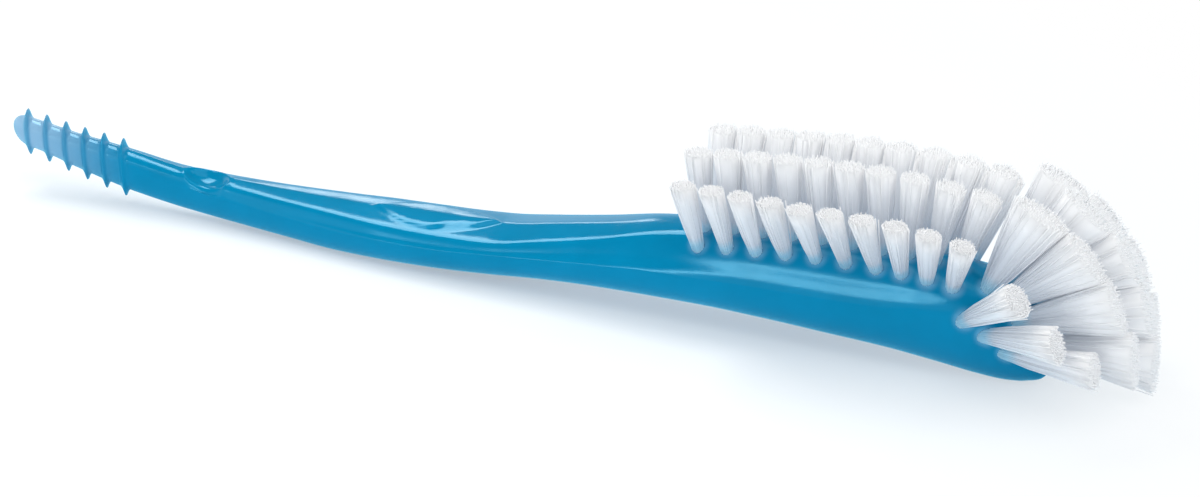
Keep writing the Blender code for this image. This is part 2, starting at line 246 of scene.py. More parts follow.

# Floor, with the span of distances over which its shadows fade out. Near the brush the camera sees
# a share of bluish glow over the floor, a painted lift and tint of its shadow
FLOOR_COLOUR = (0.93, 0.94, 0.96, 1.0)
FLOOR_ROUGHNESS = 0.9
# Colour of the glow that glossy rays see instead of the floor: a painted pale blue reflection along
# the handle's lower side
PAINTED_REFLECTION_GLOW = (0.25, 0.75, 1.0)
SHADOW_PLACE = 0.08
SHADOW_MIDDLE = (HANDLE_START + SHADOW_PLACE, 0.0, 0.0)
SHADOW_FADE = (0.14, 0.30)
# Share of glow that the camera sees over the floor near the brush, a painted lift of the shadow,
# and its bluish colour, a painted tint of the shadow
SHADOW_GLOW_SHARE = 0.38
PAINTED_SHADOW_TINT = (0.80, 0.93, 1.0)
WHITE = (1.0, 1.0, 1.0)

# World, with the heights of a direction at which the backdrop ends and the ceiling begins
SKY_COLOUR = (0.82, 0.92, 1.0, 1.0)
BACKDROP_END = 0.19
CEILING_START = 0.80
CEILING_START_REFLECTED = 0.40

# Each light as its name, the setting that holds its radiance, its azimuth and elevation in
# degrees, its distance, its width and its height
LAMP_COLOUR = (1.0, 0.96, 0.90)
LIGHTS = (
    ("overhead", "key_power", -116, 56, 1.09, 0.62, 0.34),
    ("top_fill", "top_power", 10, 72, 1.3, 1.2, 0.8),
    ("right_fill", "fill_power", 80, 42, 1.2, 1.0, 1.0),
    ("back_strip", "rim_power", 215, 21, 1.2, 0.20, 0.08),
    ("front_strip", "front_power", -19, 21, 1.2, 0.42, 0.11),
    ("front_glow", "glow_power", -19, 21, 1.2, 0.5, 0.26),
    ("side_strip", "side_power", -33, 15, 1.2, 0.22, 0.08),
)


class HandleSettings(bpy.types.PropertyGroup):
    """Sizes and colours of the moulded handle"""

    rib_height: FloatProperty(
        name="Rib Height", description="How far a rib stands out above and below the teat tip",
        default=0.0024, unit="LENGTH", precision=5)
    scoop_depth: FloatProperty(
        name="Scoop Depth", description="Depth of the thumb scoop in the top face",
        default=0.0024, unit="LENGTH", precision=5)
    pad_height: FloatProperty(
        name="Pad Height", description="How far the leaf-shaped pad stands over the top face",
        default=0.0008, unit="LENGTH", precision=5)
    dimple_depth: FloatProperty(
        name="Dimple Depth", description="Depth of the dimple round each tuft's root",
        default=0.0005, unit="LENGTH", precision=5)
    colour: FloatVectorProperty(
        name="Plastic Colour", description="Colour of the moulded plastic",
        default=(0.0, 0.215, 0.41), subtype="COLOR", min=0.0, max=1.0)
    # Painted light showing through the thin teat tip, not the plastic's own colour
    tip_light_colour: FloatVectorProperty(
        name="Teat Tip Colour", description="Paler colour of the plastic where the tip is thin",
        default=(0.30, 0.49, 0.68), subtype="COLOR", min=0.0, max=1.0)
    # Partly the white root seen through the plastic, partly a painted glow round it
    root_colour: FloatVectorProperty(
        name="Root Colour", description="Colour of the plastic where a tuft's root shows through",
        default=(0.30, 0.56, 0.74), subtype="COLOR", min=0.0, max=1.0)


class BristleSettings(bpy.types.PropertyGroup):
    """Sizes and colours of the nylon tufts"""

    filaments: IntProperty(
        name="Filaments", description="Filaments in one tuft", default=150, min=8, max=600)
    thickness: FloatProperty(
        name="Filament Thickness", description="Diameter of one nylon filament",
        default=0.00026, unit="LENGTH", precision=5)
    root_radius: FloatProperty(
        name="Root Radius", description="Radius of a tuft where it leaves the handle",
        default=0.00150, unit="LENGTH", precision=5)
    outer_tip_radius: FloatProperty(
        name="Outer Tip Radius", description="Radius at its tips of a tuft of the outer rows",
        default=0.0031, unit="LENGTH", precision=5)
    inner_tip_radius: FloatProperty(
        name="Inner Tip Radius", description="Radius at its tips of a tuft of the inner rows",
        default=0.0036, unit="LENGTH", precision=5)
    fan_tip_radius: FloatProperty(
        name="Fan Tip Radius", description="Radius of a tuft of the fan at its tips",
        default=0.0043, unit="LENGTH", precision=5)
    fan_spread: FloatProperty(
        name="Fan Spread", description="How much wider than thick the fan's middle tufts flare",
        default=1.70, min=0.5, max=3.0)
    fan_filaments: IntProperty(
        name="Fan Filaments", description="Filaments in one tuft of the fan",
        default=280, min=8, max=600)
    ragged: FloatProperty(
        name="Raggedness", description="How much shorter than the longest a filament may be",
        default=0.0008, unit="LENGTH", precision=5)
    colour: FloatVectorProperty(
        name="Bristle Colour", description="Colour of the nylon filaments",
        default=(0.83, 0.83, 0.845), subtype="COLOR", min=0.0, max=1.0)
    # Painted shade on the filaments' lower part
    shaded_lower_colour: FloatVectorProperty(
        name="Bristle Lower Colour", description="Colour of the filaments' shaded lower half",
        default=(0.63, 0.68, 0.755), subtype="COLOR", min=0.0, max=1.0)
    # Painted blue light from the handle on the filaments near their roots
    root_colour: FloatVectorProperty(
        name="Bristle Root Colour", description="Colour of the filaments close to the handle",
        default=(0.42, 0.72, 0.88), subtype="COLOR", min=0.0, max=1.0)


class StudioSettings(bpy.types.PropertyGroup):
    """Camera, floor and lights"""

    focal_length: FloatProperty(
        name="Focal Length", description="Focal length of the camera's lens, in millimetres",
        default=70.53, min=10.0, max=300.0)
    floor_size: FloatProperty(
        name="Floor Size", description="Side of the square floor",
        default=6.0, unit="LENGTH")
    key_power: FloatProperty(
        name="Overhead Light", description="Radiance of the soft light overhead",
        default=8.0, min=0.0)
    top_power: FloatProperty(
        name="Top Fill", description="Radiance of the large soft light over the near side",
        default=1.3, min=0.0)
    fill_power: FloatProperty(
        name="Side Fill", description="Radiance of the large soft light beyond the brush head",
        default=1.6, min=0.0)
    rim_power: FloatProperty(
        name="Back Light", description="Radiance of the low strip light behind the brush",
        default=5.0, min=0.0)
    front_power: FloatProperty(
        name="Front Light", description="Radiance of the thin strip light in front",
        default=9.0, min=0.0)
    glow_power: FloatProperty(
        name="Front Glow", description="Radiance of the broad dim light round the front light",
        default=1.2, min=0.0)
    side_power: FloatProperty(
        name="Side Strip", description="Radiance of the thin strip light low in front of the tip",
        default=3.0, min=0.0)
    sky_level: FloatProperty(
        name="Sky Level", description="Radiance of the studio's ceiling",
        default=0.46, min=0.0)
    sky_reflection: FloatProperty(
        name="Sky Reflection", description="Radiance of the ceiling as glossy surfaces see it",
        default=0.12, min=0.0)


def curve_through(places, values, wanted):
    """Smooth curve through the values at the places. Each stretch is a cubic whose end slopes are
    the harmonic mean of the grades beside it, so that the curve never swings past the values."""
    steps = np.diff(places)
    grades = np.diff(values) / steps
    slopes = np.empty(len(values))
    slopes[0], slopes[-1] = grades[0], grades[-1]
    same = grades[:-1] * grades[1:] > 0
    total = np.where(same, grades[:-1] + grades[1:], 1.0)
    slopes[1:-1] = np.where(same, 2 * grades[:-1] * grades[1:] / total, 0.0)
    low = np.clip(np.searchsorted(places, wanted, side="right") - 1, 0, len(steps) - 1)
    t = (wanted - places[low]) / steps[low]
    return (
        (1 + 2 * t) * (1 - t) ** 2 * values[low]
        + t * (1 - t) ** 2 * steps[low] * slopes[low]
        + t ** 2 * (3 - 2 * t) * values[low + 1]
        + t ** 2 * (t - 1) * steps[low] * slopes[low + 1]
    )


def smooth(value):
    """0 below 0, 1 above 1, and 3 v squared less 2 v cubed in between."""
    v = np.clip(value, 0, 1)
    return v * v * (3 - 2 * v)


def station_table():
    """The section's sizes at each station of the grip and the head, in metres."""
    rows = []
    grip = (GRIP_SHARES, 0.0, GRIP_LENGTH, GRIP_WIDTH)
    head = (HEAD_SHARES, GRIP_LENGTH, HEAD_LENGTH, HEAD_WIDTH)
    for shares, start, length, width in (grip, head):
        for along, low, side, high, ridge, half, above, below, tilt in shares:
            rows.append((
                start + along * length, low * HEAD_HEIGHT, side * HEAD_HEIGHT, high * HEAD_HEIGHT,
                (ridge - high) * HEAD_HEIGHT, half * width / 2, above, below, math.radians(tilt)))
    return np.array(rows)


def ring_places():
    """Where the handle's rings lie. Their closeness is 1, plus a bell-shaped rise at each crowd,
    and it is summed along the handle and shared out evenly."""
    fine = np.linspace(0, HANDLE_LENGTH, RING_CROWD_SAMPLES)
    closeness = np.ones_like(fine)
    for centre, reach, factor in RING_CROWDS:
        closeness += factor * np.exp(-((fine - centre) / reach) ** 4)
    total = np.concatenate(([0], np.cumsum((closeness[1:] + closeness[:-1]) / 2)))
    return np.interp(np.linspace(0, total[-1], HANDLE_RINGS), total, fine)


def rib_swell(places):
    """0 between the ribs and 1 on each rib's edge: the flanks are hollow, a power of the distance
    to the foot, and the edge is rounded."""
    ribs = FIRST_RIB + RIB_PITCH * np.arange(RIB_COUNT)
    away = np.abs(places[:, None] - ribs[None, :]).min(axis=1) / (RIB_FOOT / 2)
    rounded = np.sqrt(away ** 2 + RIB_EDGE_SHARE ** 2) - RIB_EDGE_SHARE
    return (np.clip(1 - rounded, 0, 1) ** RIB_TAPER)[:, None]


def rib_slant(places):
    """How far along the handle a point moves for each step sideways: the ribs slant in plan, and
    past the last rib the slant dies away."""
    return math.tan(RIB_SLANT) * np.clip(2 - places / RIBS_END, 0, 1)[:, None]


def section_turns():
    """Turns round the section, from the far side's widest line over the top: even steps, less a
    sine that crowds them at the widest lines, the corners and the middles of the faces."""
    even = np.linspace(0, 2 * math.pi, HANDLE_POINTS, endpoint=False)
    return (even - POINT_CROWDING / POINT_CROWDS * np.sin(POINT_CROWDS * even))[None, :]


def unit_section(above, below):
    """Sideways and upward shares of a section's points. A point lies in the direction of its turn,
    where the sum of the powers of its shares is 1."""
    turn = section_turns()
    power = np.where(np.sin(turn) >= 0, above, below)
    reach = (np.abs(np.cos(turn)) ** power + np.abs(np.sin(turn)) ** power) ** (-1 / power)
    return np.cos(turn) * reach, np.sin(turn) * reach


def scoop_share(places, y):
    """1 in the middle of the oval scoop, falling to 0 at its rim, which is rounded off. Then the
    height of the soft bead round the rim, a bell of the way across it."""
    along = (places[:, None] - SCOOP_CENTRE) / (SCOOP_LENGTH / 2)
    sideways = (y - SCOOP_SIDE) / (SCOOP_WIDTH / 2)
    inside = 1 - along ** 2 - sideways ** 2
    rounded = np.sqrt(np.clip(inside, 0, 1) ** 2 + SCOOP_RIM_SHARE ** 2) - SCOOP_RIM_SHARE
    bead = SCOOP_BEAD_HEIGHT * np.exp(-(inside / SCOOP_BEAD_SHARE) ** 2)
    return rounded ** SCOOP_FULLNESS, bead


def pad_share(places, y):
    """1 on the flat top of the leaf-shaped pad, with a smooth step down at its edge. The leaf's
    half width falls to nothing at its two ends. Past its middle, its near edge widens into a
    long even slope."""
    along = (places[:, None] - PAD_CENTRE) / (PAD_LENGTH / 2)
    inside = np.clip(1 - along ** 2, 0, 1) - np.abs(y) / (PAD_WIDTH / 2)
    starts = smooth((along - PAD_SLOPE_START) / PAD_SLOPE_RAMP)
    ends = smooth((along - PAD_SLOPE_END) / PAD_SLOPE_RAMP)
    wide = starts * (1 - ends) * (y < 0)
    slope = np.clip(inside / (PAD_EDGE + (PAD_SLOPE - PAD_EDGE) * wide), 0, 1)
    return smooth(slope) + (slope - smooth(slope)) * PAD_EVENNESS * wide


def shape_band(y, z, side, half, tilt):
    """The points' new y, with what bulges over the band above the widest line pressed on to it.
    The band leans inwards by the tilt at that line and curves on, so that at a height over the
    line its half width is less by the tilt's tangent times the height, and the height squared over
    twice the band's radius. The corner between the band and the top is rounded off by a smooth
    minimum of the two."""
    height = np.maximum(z - side, 0)
    allowed = half - np.tan(tilt) * height - height ** 2 / (2 * BAND_RADIUS)
    blend = CORNER_REACH * smooth(height / (2 * CORNER_REACH)) + LEAST_BLEND
    share = np.clip(0.5 + 0.5 * (allowed - np.abs(y)) / blend, 0, 1)
    pressed = allowed + (np.abs(y) - allowed) * share - blend * share * (1 - share)
    pressed = np.clip(pressed, 0, np.abs(y))
    return y + (np.sign(y) * pressed - y) * smooth(tilt / FULL_TILT)


def top_roll(places, y):
    """The top face of the grip leans a little to the near side: it falls by a share of the way
    across, which grows from nothing at the scoop and dies away in the head."""
    start = smooth((places - ROLL_START) / ROLL_RAMP)
    end = smooth((ROLL_END - places) / ROLL_RAMP)
    return TOP_ROLL * (start * end)[:, None] * y


def end_rounding(places):
    """Share of the section's size near the two rounded ends: a quarter circle at each."""
    tip = np.clip(1 - places / TIP_ROUNDING, 0, 1)
    chin = np.clip(1 - (HANDLE_LENGTH - places) / CHIN_ROUNDING, 0, 1)
    return np.sqrt(1 - np.maximum(tip, chin) ** 2)[:, None]


def handle_grid(settings):
    """Points of the handle's surface as rings by turns. A ring is two half superellipses that meet
    at the widest line. The ribs swell the section and the band presses it in. The relief of the
    top is a rounded tent for the ridge, the pad, the lean of the top face and the scoop with its
    bead. What would lie under the ground is flat on it, and the slant moves points along."""
    places = ring_places()
    table = station_table()
    stations, *columns = table.T
    low, side, high, ridge, half, above, below, tilt = (
        curve_through(stations, column, places)[:, None] for column in columns)
    across, upward = unit_section(above, below)
    rounding = end_rounding(places)
    swell = rib_swell(places)
    reach = np.where(upward >= 0, high - side, side - low)
    y = across * (half * rounding + settings.rib_height * RIB_SIDE_SHARE * swell)
    z = side + upward * (reach * rounding + settings.rib_height * swell)
    y = shape_band(y, z, side, half, tilt)
    top = smooth(upward / TOP_REACH)
    tent = 1 - np.sqrt(across ** 2 + RIDGE_ROUNDING_SHARE ** 2)
    scoop, bead = scoop_share(places, y)
    relief = ridge * np.clip(tent, 0, 1) * (1 - smooth(SCOOP_RIDGE_FADE * scoop))
    relief = relief + settings.pad_height * pad_share(places, y)
    relief = relief + top_roll(places, y) - settings.scoop_depth * scoop + bead
    z = z + top * relief
    z = np.maximum(z, 0)
    x = HANDLE_START + places[:, None] - rib_slant(places) * y
    return np.stack(np.broadcast_arrays(x, y, z), axis=-1)


def tube_faces(rings, points):
    """Quads between neighbouring rings of a closed tube, facing out for rings that turn
    anticlockwise seen from the tube's far end."""
    ring = np.arange(rings - 1)[:, None] * points
    here = np.arange(points)[None, :]
    after = (here + 1) % points
    corners = (ring + after, ring + points + after, ring + points + here, ring + here)
    return np.stack(corners, axis=-1).reshape(-1, 4)


def pole_faces(first, points, pole, at_start):
    """Triangles between one ring and the pole, the single point in which a tube ends. They face
    out at the tube's start or at its far end."""
    here = first + np.arange(points)
    after = first + (np.arange(points) + 1) % points
    pair = (after, here) if at_start else (here, after)
    return np.stack((np.full(points, pole), *pair), axis=-1)


def handle_faces(count):
    """The handle's faces. Its points are one pole, then the rings, then the other pole."""
    last = count - 1
    start = pole_faces(1, HANDLE_POINTS, 0, True)
    sides = tube_faces(HANDLE_RINGS - 2, HANDLE_POINTS) + 1
    end = pole_faces(last - HANDLE_POINTS, HANDLE_POINTS, last, False)
    return start.tolist() + sides.tolist() + end.tolist()


def add_piece(name, points, faces, material):
    """A mesh object at the origin, with its place in its points."""
    mesh = bpy.data.meshes.new(name)
    mesh.from_pydata(points, [], faces)
    mesh.shade_smooth()
    mesh.materials.append(material)
    piece = bpy.data.objects.new(name, mesh)
    bpy.context.scene.collection.objects.link(piece)
    return piece


def add_values(mesh, name, values):
    """Stores one number for each of the mesh's points, for its material to read."""
    attribute = mesh.attributes.new(name, "FLOAT", "POINT")
    attribute.data.foreach_set("value", np.asarray(values, dtype=np.float32))


def node_points(name):
    """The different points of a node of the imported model, as an array of (x, y, z)."""
    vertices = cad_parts[name].data.vertices
    points = np.empty(len(vertices) * 3)
    vertices.foreach_get("co", points)
    return np.unique(points.reshape(-1, 3).round(WELD_DIGITS), axis=0)


def tuft_axis(name):
    """Foot and direction of a tuft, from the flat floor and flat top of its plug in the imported
    model. The eight lowest points along the rough axis are the floor."""
    points = node_points(name)
    middle = points.mean(axis=0)
    rough = np.linalg.svd(points - middle)[2][0]
    rough = rough * np.sign(rough @ (middle - HEAD_MIDDLE))
    floor = points[np.argsort(points @ rough)[:AXIS_SIDES]]
    centre = floor.mean(axis=0)
    direction = np.linalg.svd(floor - centre)[2][2]
    direction = direction * np.sign(direction @ rough)
    return centre + direction * PLUG_DEPTH, direction


def tuft_names():
    """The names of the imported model's tufts, in the order of the alphabet."""
    return sorted(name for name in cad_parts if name.startswith("tuft_"))


def sink_dimples(points, depth):
    """Sinks the surface round each tuft's foot along the tuft's axis, by a bell that falls from the
    dimple's depth at the foot to nothing at its edge. Also returns the share of the paler spot
    round
    each root at each point, 1 at a foot: partly the white root seen through the plastic, partly a
    painted glow round it."""
    glow = np.zeros(len(points))
    for name in tuft_names():
        foot, direction = tuft_axis(name)
        away = points - foot
        along = away @ direction
        beside = np.linalg.norm(away - along[:, None] * direction, axis=1)
        near = np.abs(along) < DIMPLE_RADIUS
        bell = smooth(1 - beside / DIMPLE_RADIUS) * near
        points -= (depth * bell)[:, None] * direction
        deep = np.linalg.norm(away, axis=1)
        glow = np.maximum(glow, smooth(1 - deep / GLOW_RADIUS))
    return points, glow


def filament_lines(settings, tuft, chance):
    """Centre lines of a tuft's filaments in the tuft's own frame, as filaments by steps by (x, y,
    z). The roots fill a disc in a sunflower pattern. Each filament leans out in proportion to its
    place in the disc, and bows to one side by four times the share of the way up times the share
    that is left, so that its ends keep their places. It ends a little short of the plane in which
    the tuft is trimmed."""
    count = tuft["filaments"]
    radii = tuft["tip_radii"]
    share = np.sqrt((np.arange(count) + 0.5) / count)
    turn = np.arange(count) * GOLDEN_TURN + chance.uniform(0, 2 * math.pi)
    side = np.stack((np.cos(turn), np.sin(turn)), axis=-1)
    root = side * (share * settings.root_radius)[:, None]
    lean = side * (share * chance.uniform(*LEAN_SPAN, count))[:, None] * radii
    lean += chance.normal(0, LEAN_SCATTER, (count, 2)) * radii
    lean *= np.where(chance.random(count) < STRAY_SHARE, STRAY_LEAN, 1.0)[:, None]
    bow = chance.normal(0, BOW_SCATTER, (count, 2)) * radii
    short = settings.ragged * chance.beta(*RAGGED_SPREAD, count)
    height = tuft["length"] - lean @ tuft["slope"] - short
    t = np.linspace(0, 1, FILAMENT_STEPS + 1)[None, :, None]
    flat = root[:, None] + (lean - root)[:, None] * t + bow[:, None] * t * (t - 1) * 4
    rise = -ROOT_DEPTH + (height[:, None, None] + ROOT_DEPTH) * t
    return keep_over_floor(np.concatenate((flat, rise), axis=-1), tuft)


def keep_over_floor(points, tuft):
    """Lifts points, in the tuft's own frame, that would lie under the floor on to it."""
    up = tuft["axes"][:, 2]
    short = np.maximum(FLOOR_GAP - tuft["foot"][2] - points @ up, 0)
    return points + short[..., None] * up


def filament_tubes(settings, lines):
    """Points and faces of a closed tube of a few sides round each filament's centre line, and how
    far along its line each point is."""
    count, rings = lines.shape[:2]
    turn = np.arange(FILAMENT_SIDES) * 2 * math.pi / FILAMENT_SIDES
    radius = settings.thickness / 2
    ring = np.stack((np.cos(turn) * radius, np.sin(turn) * radius, np.zeros_like(turn)), axis=-1)
    points = (lines[:, :, None, :] + ring).reshape(-1, 3)
    each = rings * FILAMENT_SIDES
    starts = np.arange(count)[:, None, None] * each
    sides = (tube_faces(rings, FILAMENT_SIDES)[None] + starts).reshape(-1, 4)
    end = np.arange(FILAMENT_SIDES)
    bottoms = end[::-1] + starts[:, 0]
    tops = end + each - FILAMENT_SIDES + starts[:, 0]
    along = np.tile(np.repeat(np.linspace(0, 1, rings), FILAMENT_SIDES), count)
    return points, sides.tolist() + bottoms.tolist() + tops.tolist(), along


def tuft_core(settings, tuft, chance):
    """Points and faces of the filaments packed inside a tuft, as one closed cone that ends a
    little below the tips. Each of its sides stands in or out by its own share of the radius, like
    the filaments that it stands for. Also how far up the tuft each point is."""
    t = np.linspace(0, 1, CORE_STEPS + 1)[:, None]
    turn = np.arange(CORE_SIDES)[None, :] * 2 * math.pi / CORE_SIDES
    grain = CORE_SHARE * chance.normal(1.0, CORE_GRAIN, CORE_SIDES)[None, :]
    root = settings.root_radius
    x = np.cos(turn) * grain * (root + (tuft["tip_radii"][0] - root) * t)
    y = np.sin(turn) * grain * (root + (tuft["tip_radii"][1] - root) * t)
    height = tuft["length"] - CORE_DROP - x[-1] * tuft["slope"][0] - y[-1] * tuft["slope"][1]
    rise = -ROOT_DEPTH + (height + ROOT_DEPTH) * t
    points = keep_over_floor(np.stack((x, y, rise), axis=-1).reshape(-1, 3), tuft)
    faces = tube_faces(CORE_STEPS + 1, CORE_SIDES).tolist()
    last = CORE_STEPS * CORE_SIDES
    faces.append(list(range(CORE_SIDES))[::-1])
    faces.append(list(range(last, last + CORE_SIDES)))
    along = np.repeat(t[:, 0] * (1 - CORE_DROP / tuft["length"]), CORE_SIDES)
    return points, faces, along


def tuft_layout(name, settings):
    """A tuft's foot, axes, length, tip radii and number of filaments. Its first axis lies in the
    brush's middle plane. It is trimmed square to that plane, so its filaments' lengths slope with
    the direction that is left of its own when the sideways part is taken out."""
    foot, direction = tuft_axis(name)
    sideways = np.cross(direction, (0.0, 1.0, 0.0))
    sideways /= np.linalg.norm(sideways)
    axes = np.stack((sideways, np.cross(direction, sideways), direction))
    trim = axes @ (direction * (1.0, 0.0, 1.0))
    narrow, wide, filaments = settings.outer_tip_radius, 1.0, settings.filaments
    if name.startswith("tuft_inner"):
        narrow = settings.inner_tip_radius
    if name.startswith("tuft_fan"):
        narrow, filaments = settings.fan_tip_radius, settings.fan_filaments
        wide = 1.0 if "outer" in name else settings.fan_spread
    return {
        "foot": foot,
        "axes": axes,
        "length": tuft_length(name, foot, direction),
        "slope": trim[:2] / trim[2],
        "tip_radii": np.array((narrow * wide, narrow)),
        "filaments": filaments,
    }


def tuft_mesh(name, material, settings):
    """A tuft's filaments round their packed core, placed by its foot and axes. Each point's share
    of the tuft's length and a number of its filament's own are stored as its UV map."""
    chance = np.random.default_rng([ord(letter) for letter in name])
    tuft = tuft_layout(name, settings)
    tubes, faces, along = filament_tubes(settings, filament_lines(settings, tuft, chance))
    core, core_faces, core_along = tuft_core(settings, tuft, chance)
    faces += [[corner + len(tubes) for corner in face] for face in core_faces]
    points = tuft["foot"] + np.concatenate((tubes, core)) @ tuft["axes"]
    piece = add_piece(name.replace("tuft", "bristles"), points.tolist(), faces, material)
    count = tuft["filaments"]
    own = np.repeat(chance.random(count), len(tubes) // count)
    own = np.concatenate((own, np.tile(chance.random(CORE_SIDES), CORE_STEPS + 1)))
    corners = np.empty(len(piece.data.loops), dtype=np.int32)
    piece.data.loops.foreach_get("vertex_index", corners)
    layer = piece.data.uv_layers.new(name="Filament")
    pairs = np.stack((own, np.concatenate((along, core_along))), axis=-1)
    layer.data.foreach_set("uv", pairs[corners].ravel())
    return piece


def tuft_length(name, foot, direction):
    """How far the tips of a tuft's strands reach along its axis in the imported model."""
    return ((node_points(name) - foot) @ direction).max()


def new_material(name):
    """A node material with its Principled shader, and the node tree that feeds it."""
    material = bpy.data.materials.new(name)
    material.use_nodes = True
    return material, material.node_tree, material.node_tree.nodes["Principled BSDF"]


def add_node(tree, kind, **values):
    """A node of that kind, with its own settings and the plain values of its inputs."""
    node = tree.nodes.new(kind)
    for name, value in values.items():
        if hasattr(node, name):
            setattr(node, name, value)
        else:
            node.inputs[name.replace("_", " ")].default_value = value
    return node


def mottle_group():
    """Node group: a soft noise, stretched between a low and a high value."""
    name = "Mottle"
    if name in bpy.data.node_groups:
        return bpy.data.node_groups[name]
    tree = bpy.data.node_groups.new(name, "ShaderNodeTree")
    sockets = tree.interface
    sockets.new_socket(name="Vector", in_out="INPUT", socket_type="NodeSocketVector")
    for label, value in MOTTLE_DEFAULTS:
        socket = sockets.new_socket(name=label, in_out="INPUT", socket_type="NodeSocketFloat")
        socket.default_value = value
    sockets.new_socket(name="Value", in_out="OUTPUT", socket_type="NodeSocketFloat")
    given = tree.nodes.new("NodeGroupInput")
    result = tree.nodes.new("NodeGroupOutput")
    noise = add_node(
        tree, "ShaderNodeTexNoise", Detail=MOTTLE_DETAIL, Roughness=MOTTLE_ROUGHNESS)
    stretch = add_node(
        tree, "ShaderNodeMapRange", From_Min=MOTTLE_SPAN[0], From_Max=MOTTLE_SPAN[1])
    tree.links.new(given.outputs["Vector"], noise.inputs["Vector"])
    tree.links.new(given.outputs["Scale"], noise.inputs["Scale"])
    tree.links.new(noise.outputs["Fac"], stretch.inputs["Value"])
    tree.links.new(given.outputs["Low"], stretch.inputs["To Min"])
    tree.links.new(given.outputs["High"], stretch.inputs["To Max"])
    tree.links.new(stretch.outputs["Result"], result.inputs["Value"])
    return tree


def add_mottle(tree, source, scale, low, high):
    """The mottle group, placed in a material with its own scale and its two ends."""
    group = tree.nodes.new("ShaderNodeGroup")
    group.node_tree = mottle_group()
    group.inputs["Scale"].default_value = scale
    group.inputs["Low"].default_value = low
    group.inputs["High"].default_value = high
    tree.links.new(source, group.inputs["Vector"])
    return group.outputs["Value"]


def mix_colours(tree, factor, first, second):
    """A colour mix by the factor, a socket, from the first colour to the second. Each colour is
    either a socket or a plain value."""
    mix = tree.nodes.new("ShaderNodeMix")
    mix.data_type = "RGBA"
    tree.links.new(factor, mix.inputs[MIX_FACTOR])
    for place, colour in ((MIX_FIRST, first), (MIX_SECOND, second)):
        if isinstance(colour, bpy.types.NodeSocket):
            tree.links.new(colour, mix.inputs[place])
        else:
            mix.inputs[place].default_value = (*colour, 1.0)
    return mix.outputs[MIX_RESULT]


def handle_material(settings):
    """Glossy moulded plastic: deep blue, with painted light showing through the thin teat tip and
    less of it on the ribs, paler over the tufts' roots, where the white root shows through with a
    painted glow round it, and with a faint flow mottle and fine grain."""
    material, tree, shader = new_material("moulded_blue_plastic")
    place = tree.nodes.new("ShaderNodeTexCoord").outputs["Object"]
    split = tree.nodes.new("ShaderNodeSeparateXYZ")
    tree.links.new(place, split.inputs["Vector"])
    # Painted light showing through the thin teat tip, fading out past the ribs
    thin = add_node(
        tree, "ShaderNodeMapRange", interpolation_type="SMOOTHSTEP",
        From_Min=HANDLE_START, From_Max=HANDLE_START + RIBS_END,
        To_Min=TIP_LIGHT_SHARE, To_Max=0.0)
    tree.links.new(split.outputs["X"], thin.inputs["Value"])
    roots = add_node(tree, "ShaderNodeAttribute", attribute_name="root_glow")
    flow = add_mottle(tree, place, *PLASTIC_FLOW)
    scaled = tree.nodes.new("ShaderNodeVectorMath")
    scaled.operation = "SCALE"
    scaled.inputs[0].default_value = settings.colour
    tree.links.new(flow, scaled.inputs["Scale"])
    # Less of the painted tip light on the thicker ribs
    ribs = add_node(tree, "ShaderNodeAttribute", attribute_name="rib_swell")
    rib_share = add_node(
        tree, "ShaderNodeMapRange",
        From_Max=RIB_LIGHT_REACH, To_Min=1.0, To_Max=RIB_LIGHT_SHARE)
    tree.links.new(ribs.outputs["Fac"], rib_share.inputs["Value"])
    light_through = tree.nodes.new("ShaderNodeMath")
    light_through.operation = "MULTIPLY"
    tree.links.new(thin.outputs["Result"], light_through.inputs[0])
    tree.links.new(rib_share.outputs["Result"], light_through.inputs[1])
    pale = mix_colours(tree, light_through.outputs[0], scaled.outputs["Vector"], settings.tip_light_colour)
    # Paler round the roots: the white root seen through the plastic, with a painted glow round it
    lit = mix_colours(tree, roots.outputs["Fac"], pale, settings.root_colour)
    tree.links.new(lit, shader.inputs["Base Color"])
    tree.links.new(add_mottle(tree, place, *PLASTIC_ROUGHNESS), shader.inputs["Roughness"])
    bump = add_node(
        tree, "ShaderNodeBump", Strength=GRAIN_STRENGTH, Distance=GRAIN_HEIGHT)
    tree.links.new(add_mottle(tree, place, *PLASTIC_GRAIN), bump.inputs["Height"])
    tree.links.new(bump.outputs["Normal"], shader.inputs["Normal"])
    shader.inputs["IOR"].default_value = PLASTIC_IOR
    shader.inputs["Specular Tint"].default_value = PLASTIC_SPECULAR_TINT
    return material


